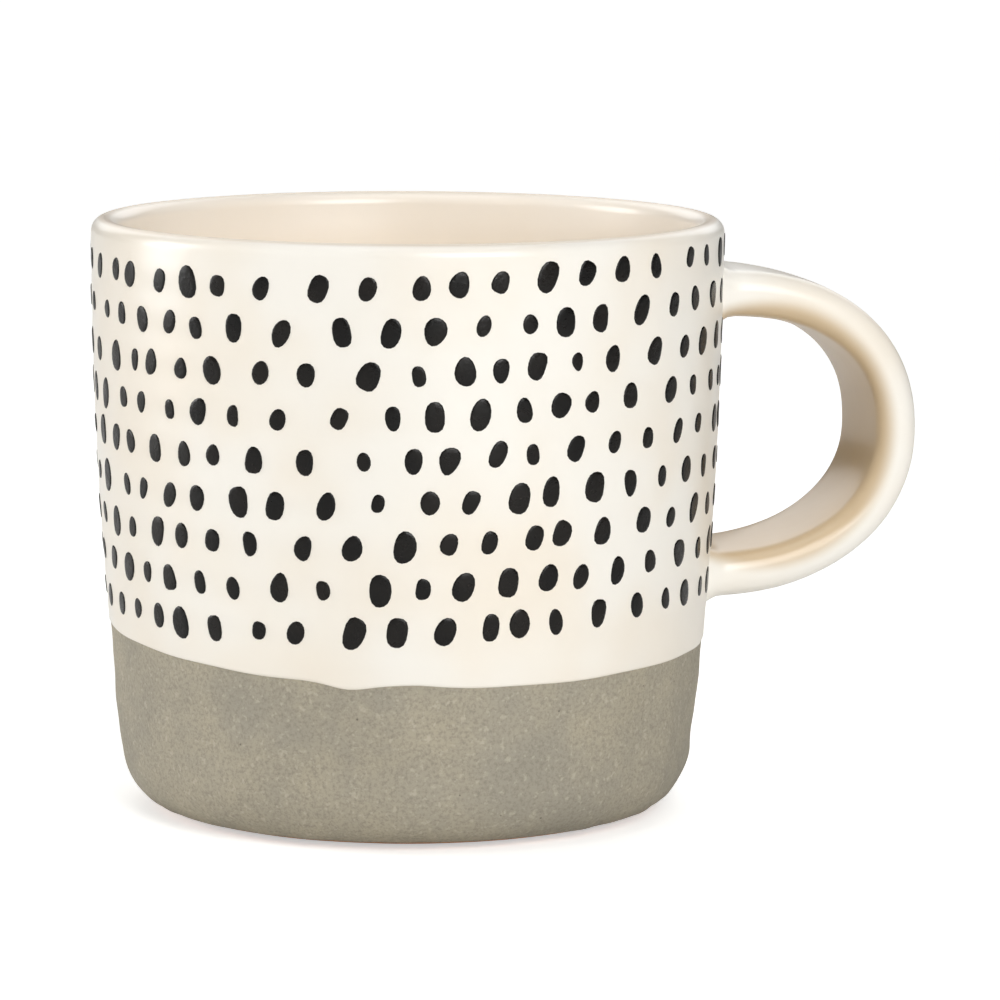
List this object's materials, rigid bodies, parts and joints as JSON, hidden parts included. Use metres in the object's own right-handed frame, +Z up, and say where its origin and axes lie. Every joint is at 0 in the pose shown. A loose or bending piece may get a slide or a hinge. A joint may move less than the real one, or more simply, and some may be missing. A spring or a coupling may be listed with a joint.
{
  "type": "stoneware mug",
  "caption": "Stoneware mug with a strap handle, cream glaze, grey dipped foot band and rows of raised black dots",
  "frame": {"origin": "centre of the bare ring that the mug stands on, on the cup's axis", "axes": "+Z up the cup's axis towards the lip; +X from the axis towards the handle; +Y the remaining side, to the left of someone who looks along +X"},
  "size_m": [0.1247, 0.0948, 0.0885],
  "materials": {
    "stoneware_clay": "fired bare stoneware clay, matte, fine grained",
    "joining_slip": "fired luting slip between handle and wall, matte",
    "liner_glaze": "warm cream liner glaze, satin gloss, run thin over the lip",
    "cream_glaze": "warm white satin glaze with soft pooling",
    "grey_engobe": "matte grey dipped coat with fine speckle and soft pressed facets",
    "black_dot_glaze": "raised black dots, glossy, soft shouldered"
  },
  "bodies": {
    "root": {"cup_body": "stoneware_clay", "handle_strap": "stoneware_clay", "upper_slip_joint": "joining_slip", "lower_slip_joint": "joining_slip", "liner_glaze": "liner_glaze", "outer_glaze": "cream_glaze", "band_glaze": "grey_engobe", "handle_glaze": "cream_glaze", "dot_row_1": "black_dot_glaze", "dot_row_2": "black_dot_glaze", "dot_row_3": "black_dot_glaze", "dot_row_4": "black_dot_glaze", "dot_row_5": "black_dot_glaze", "dot_row_6": "black_dot_glaze", "dot_row_7": "black_dot_glaze", "dot_row_8": "black_dot_glaze", "dot_row_9": "black_dot_glaze"}
  },
  "joints": []
}
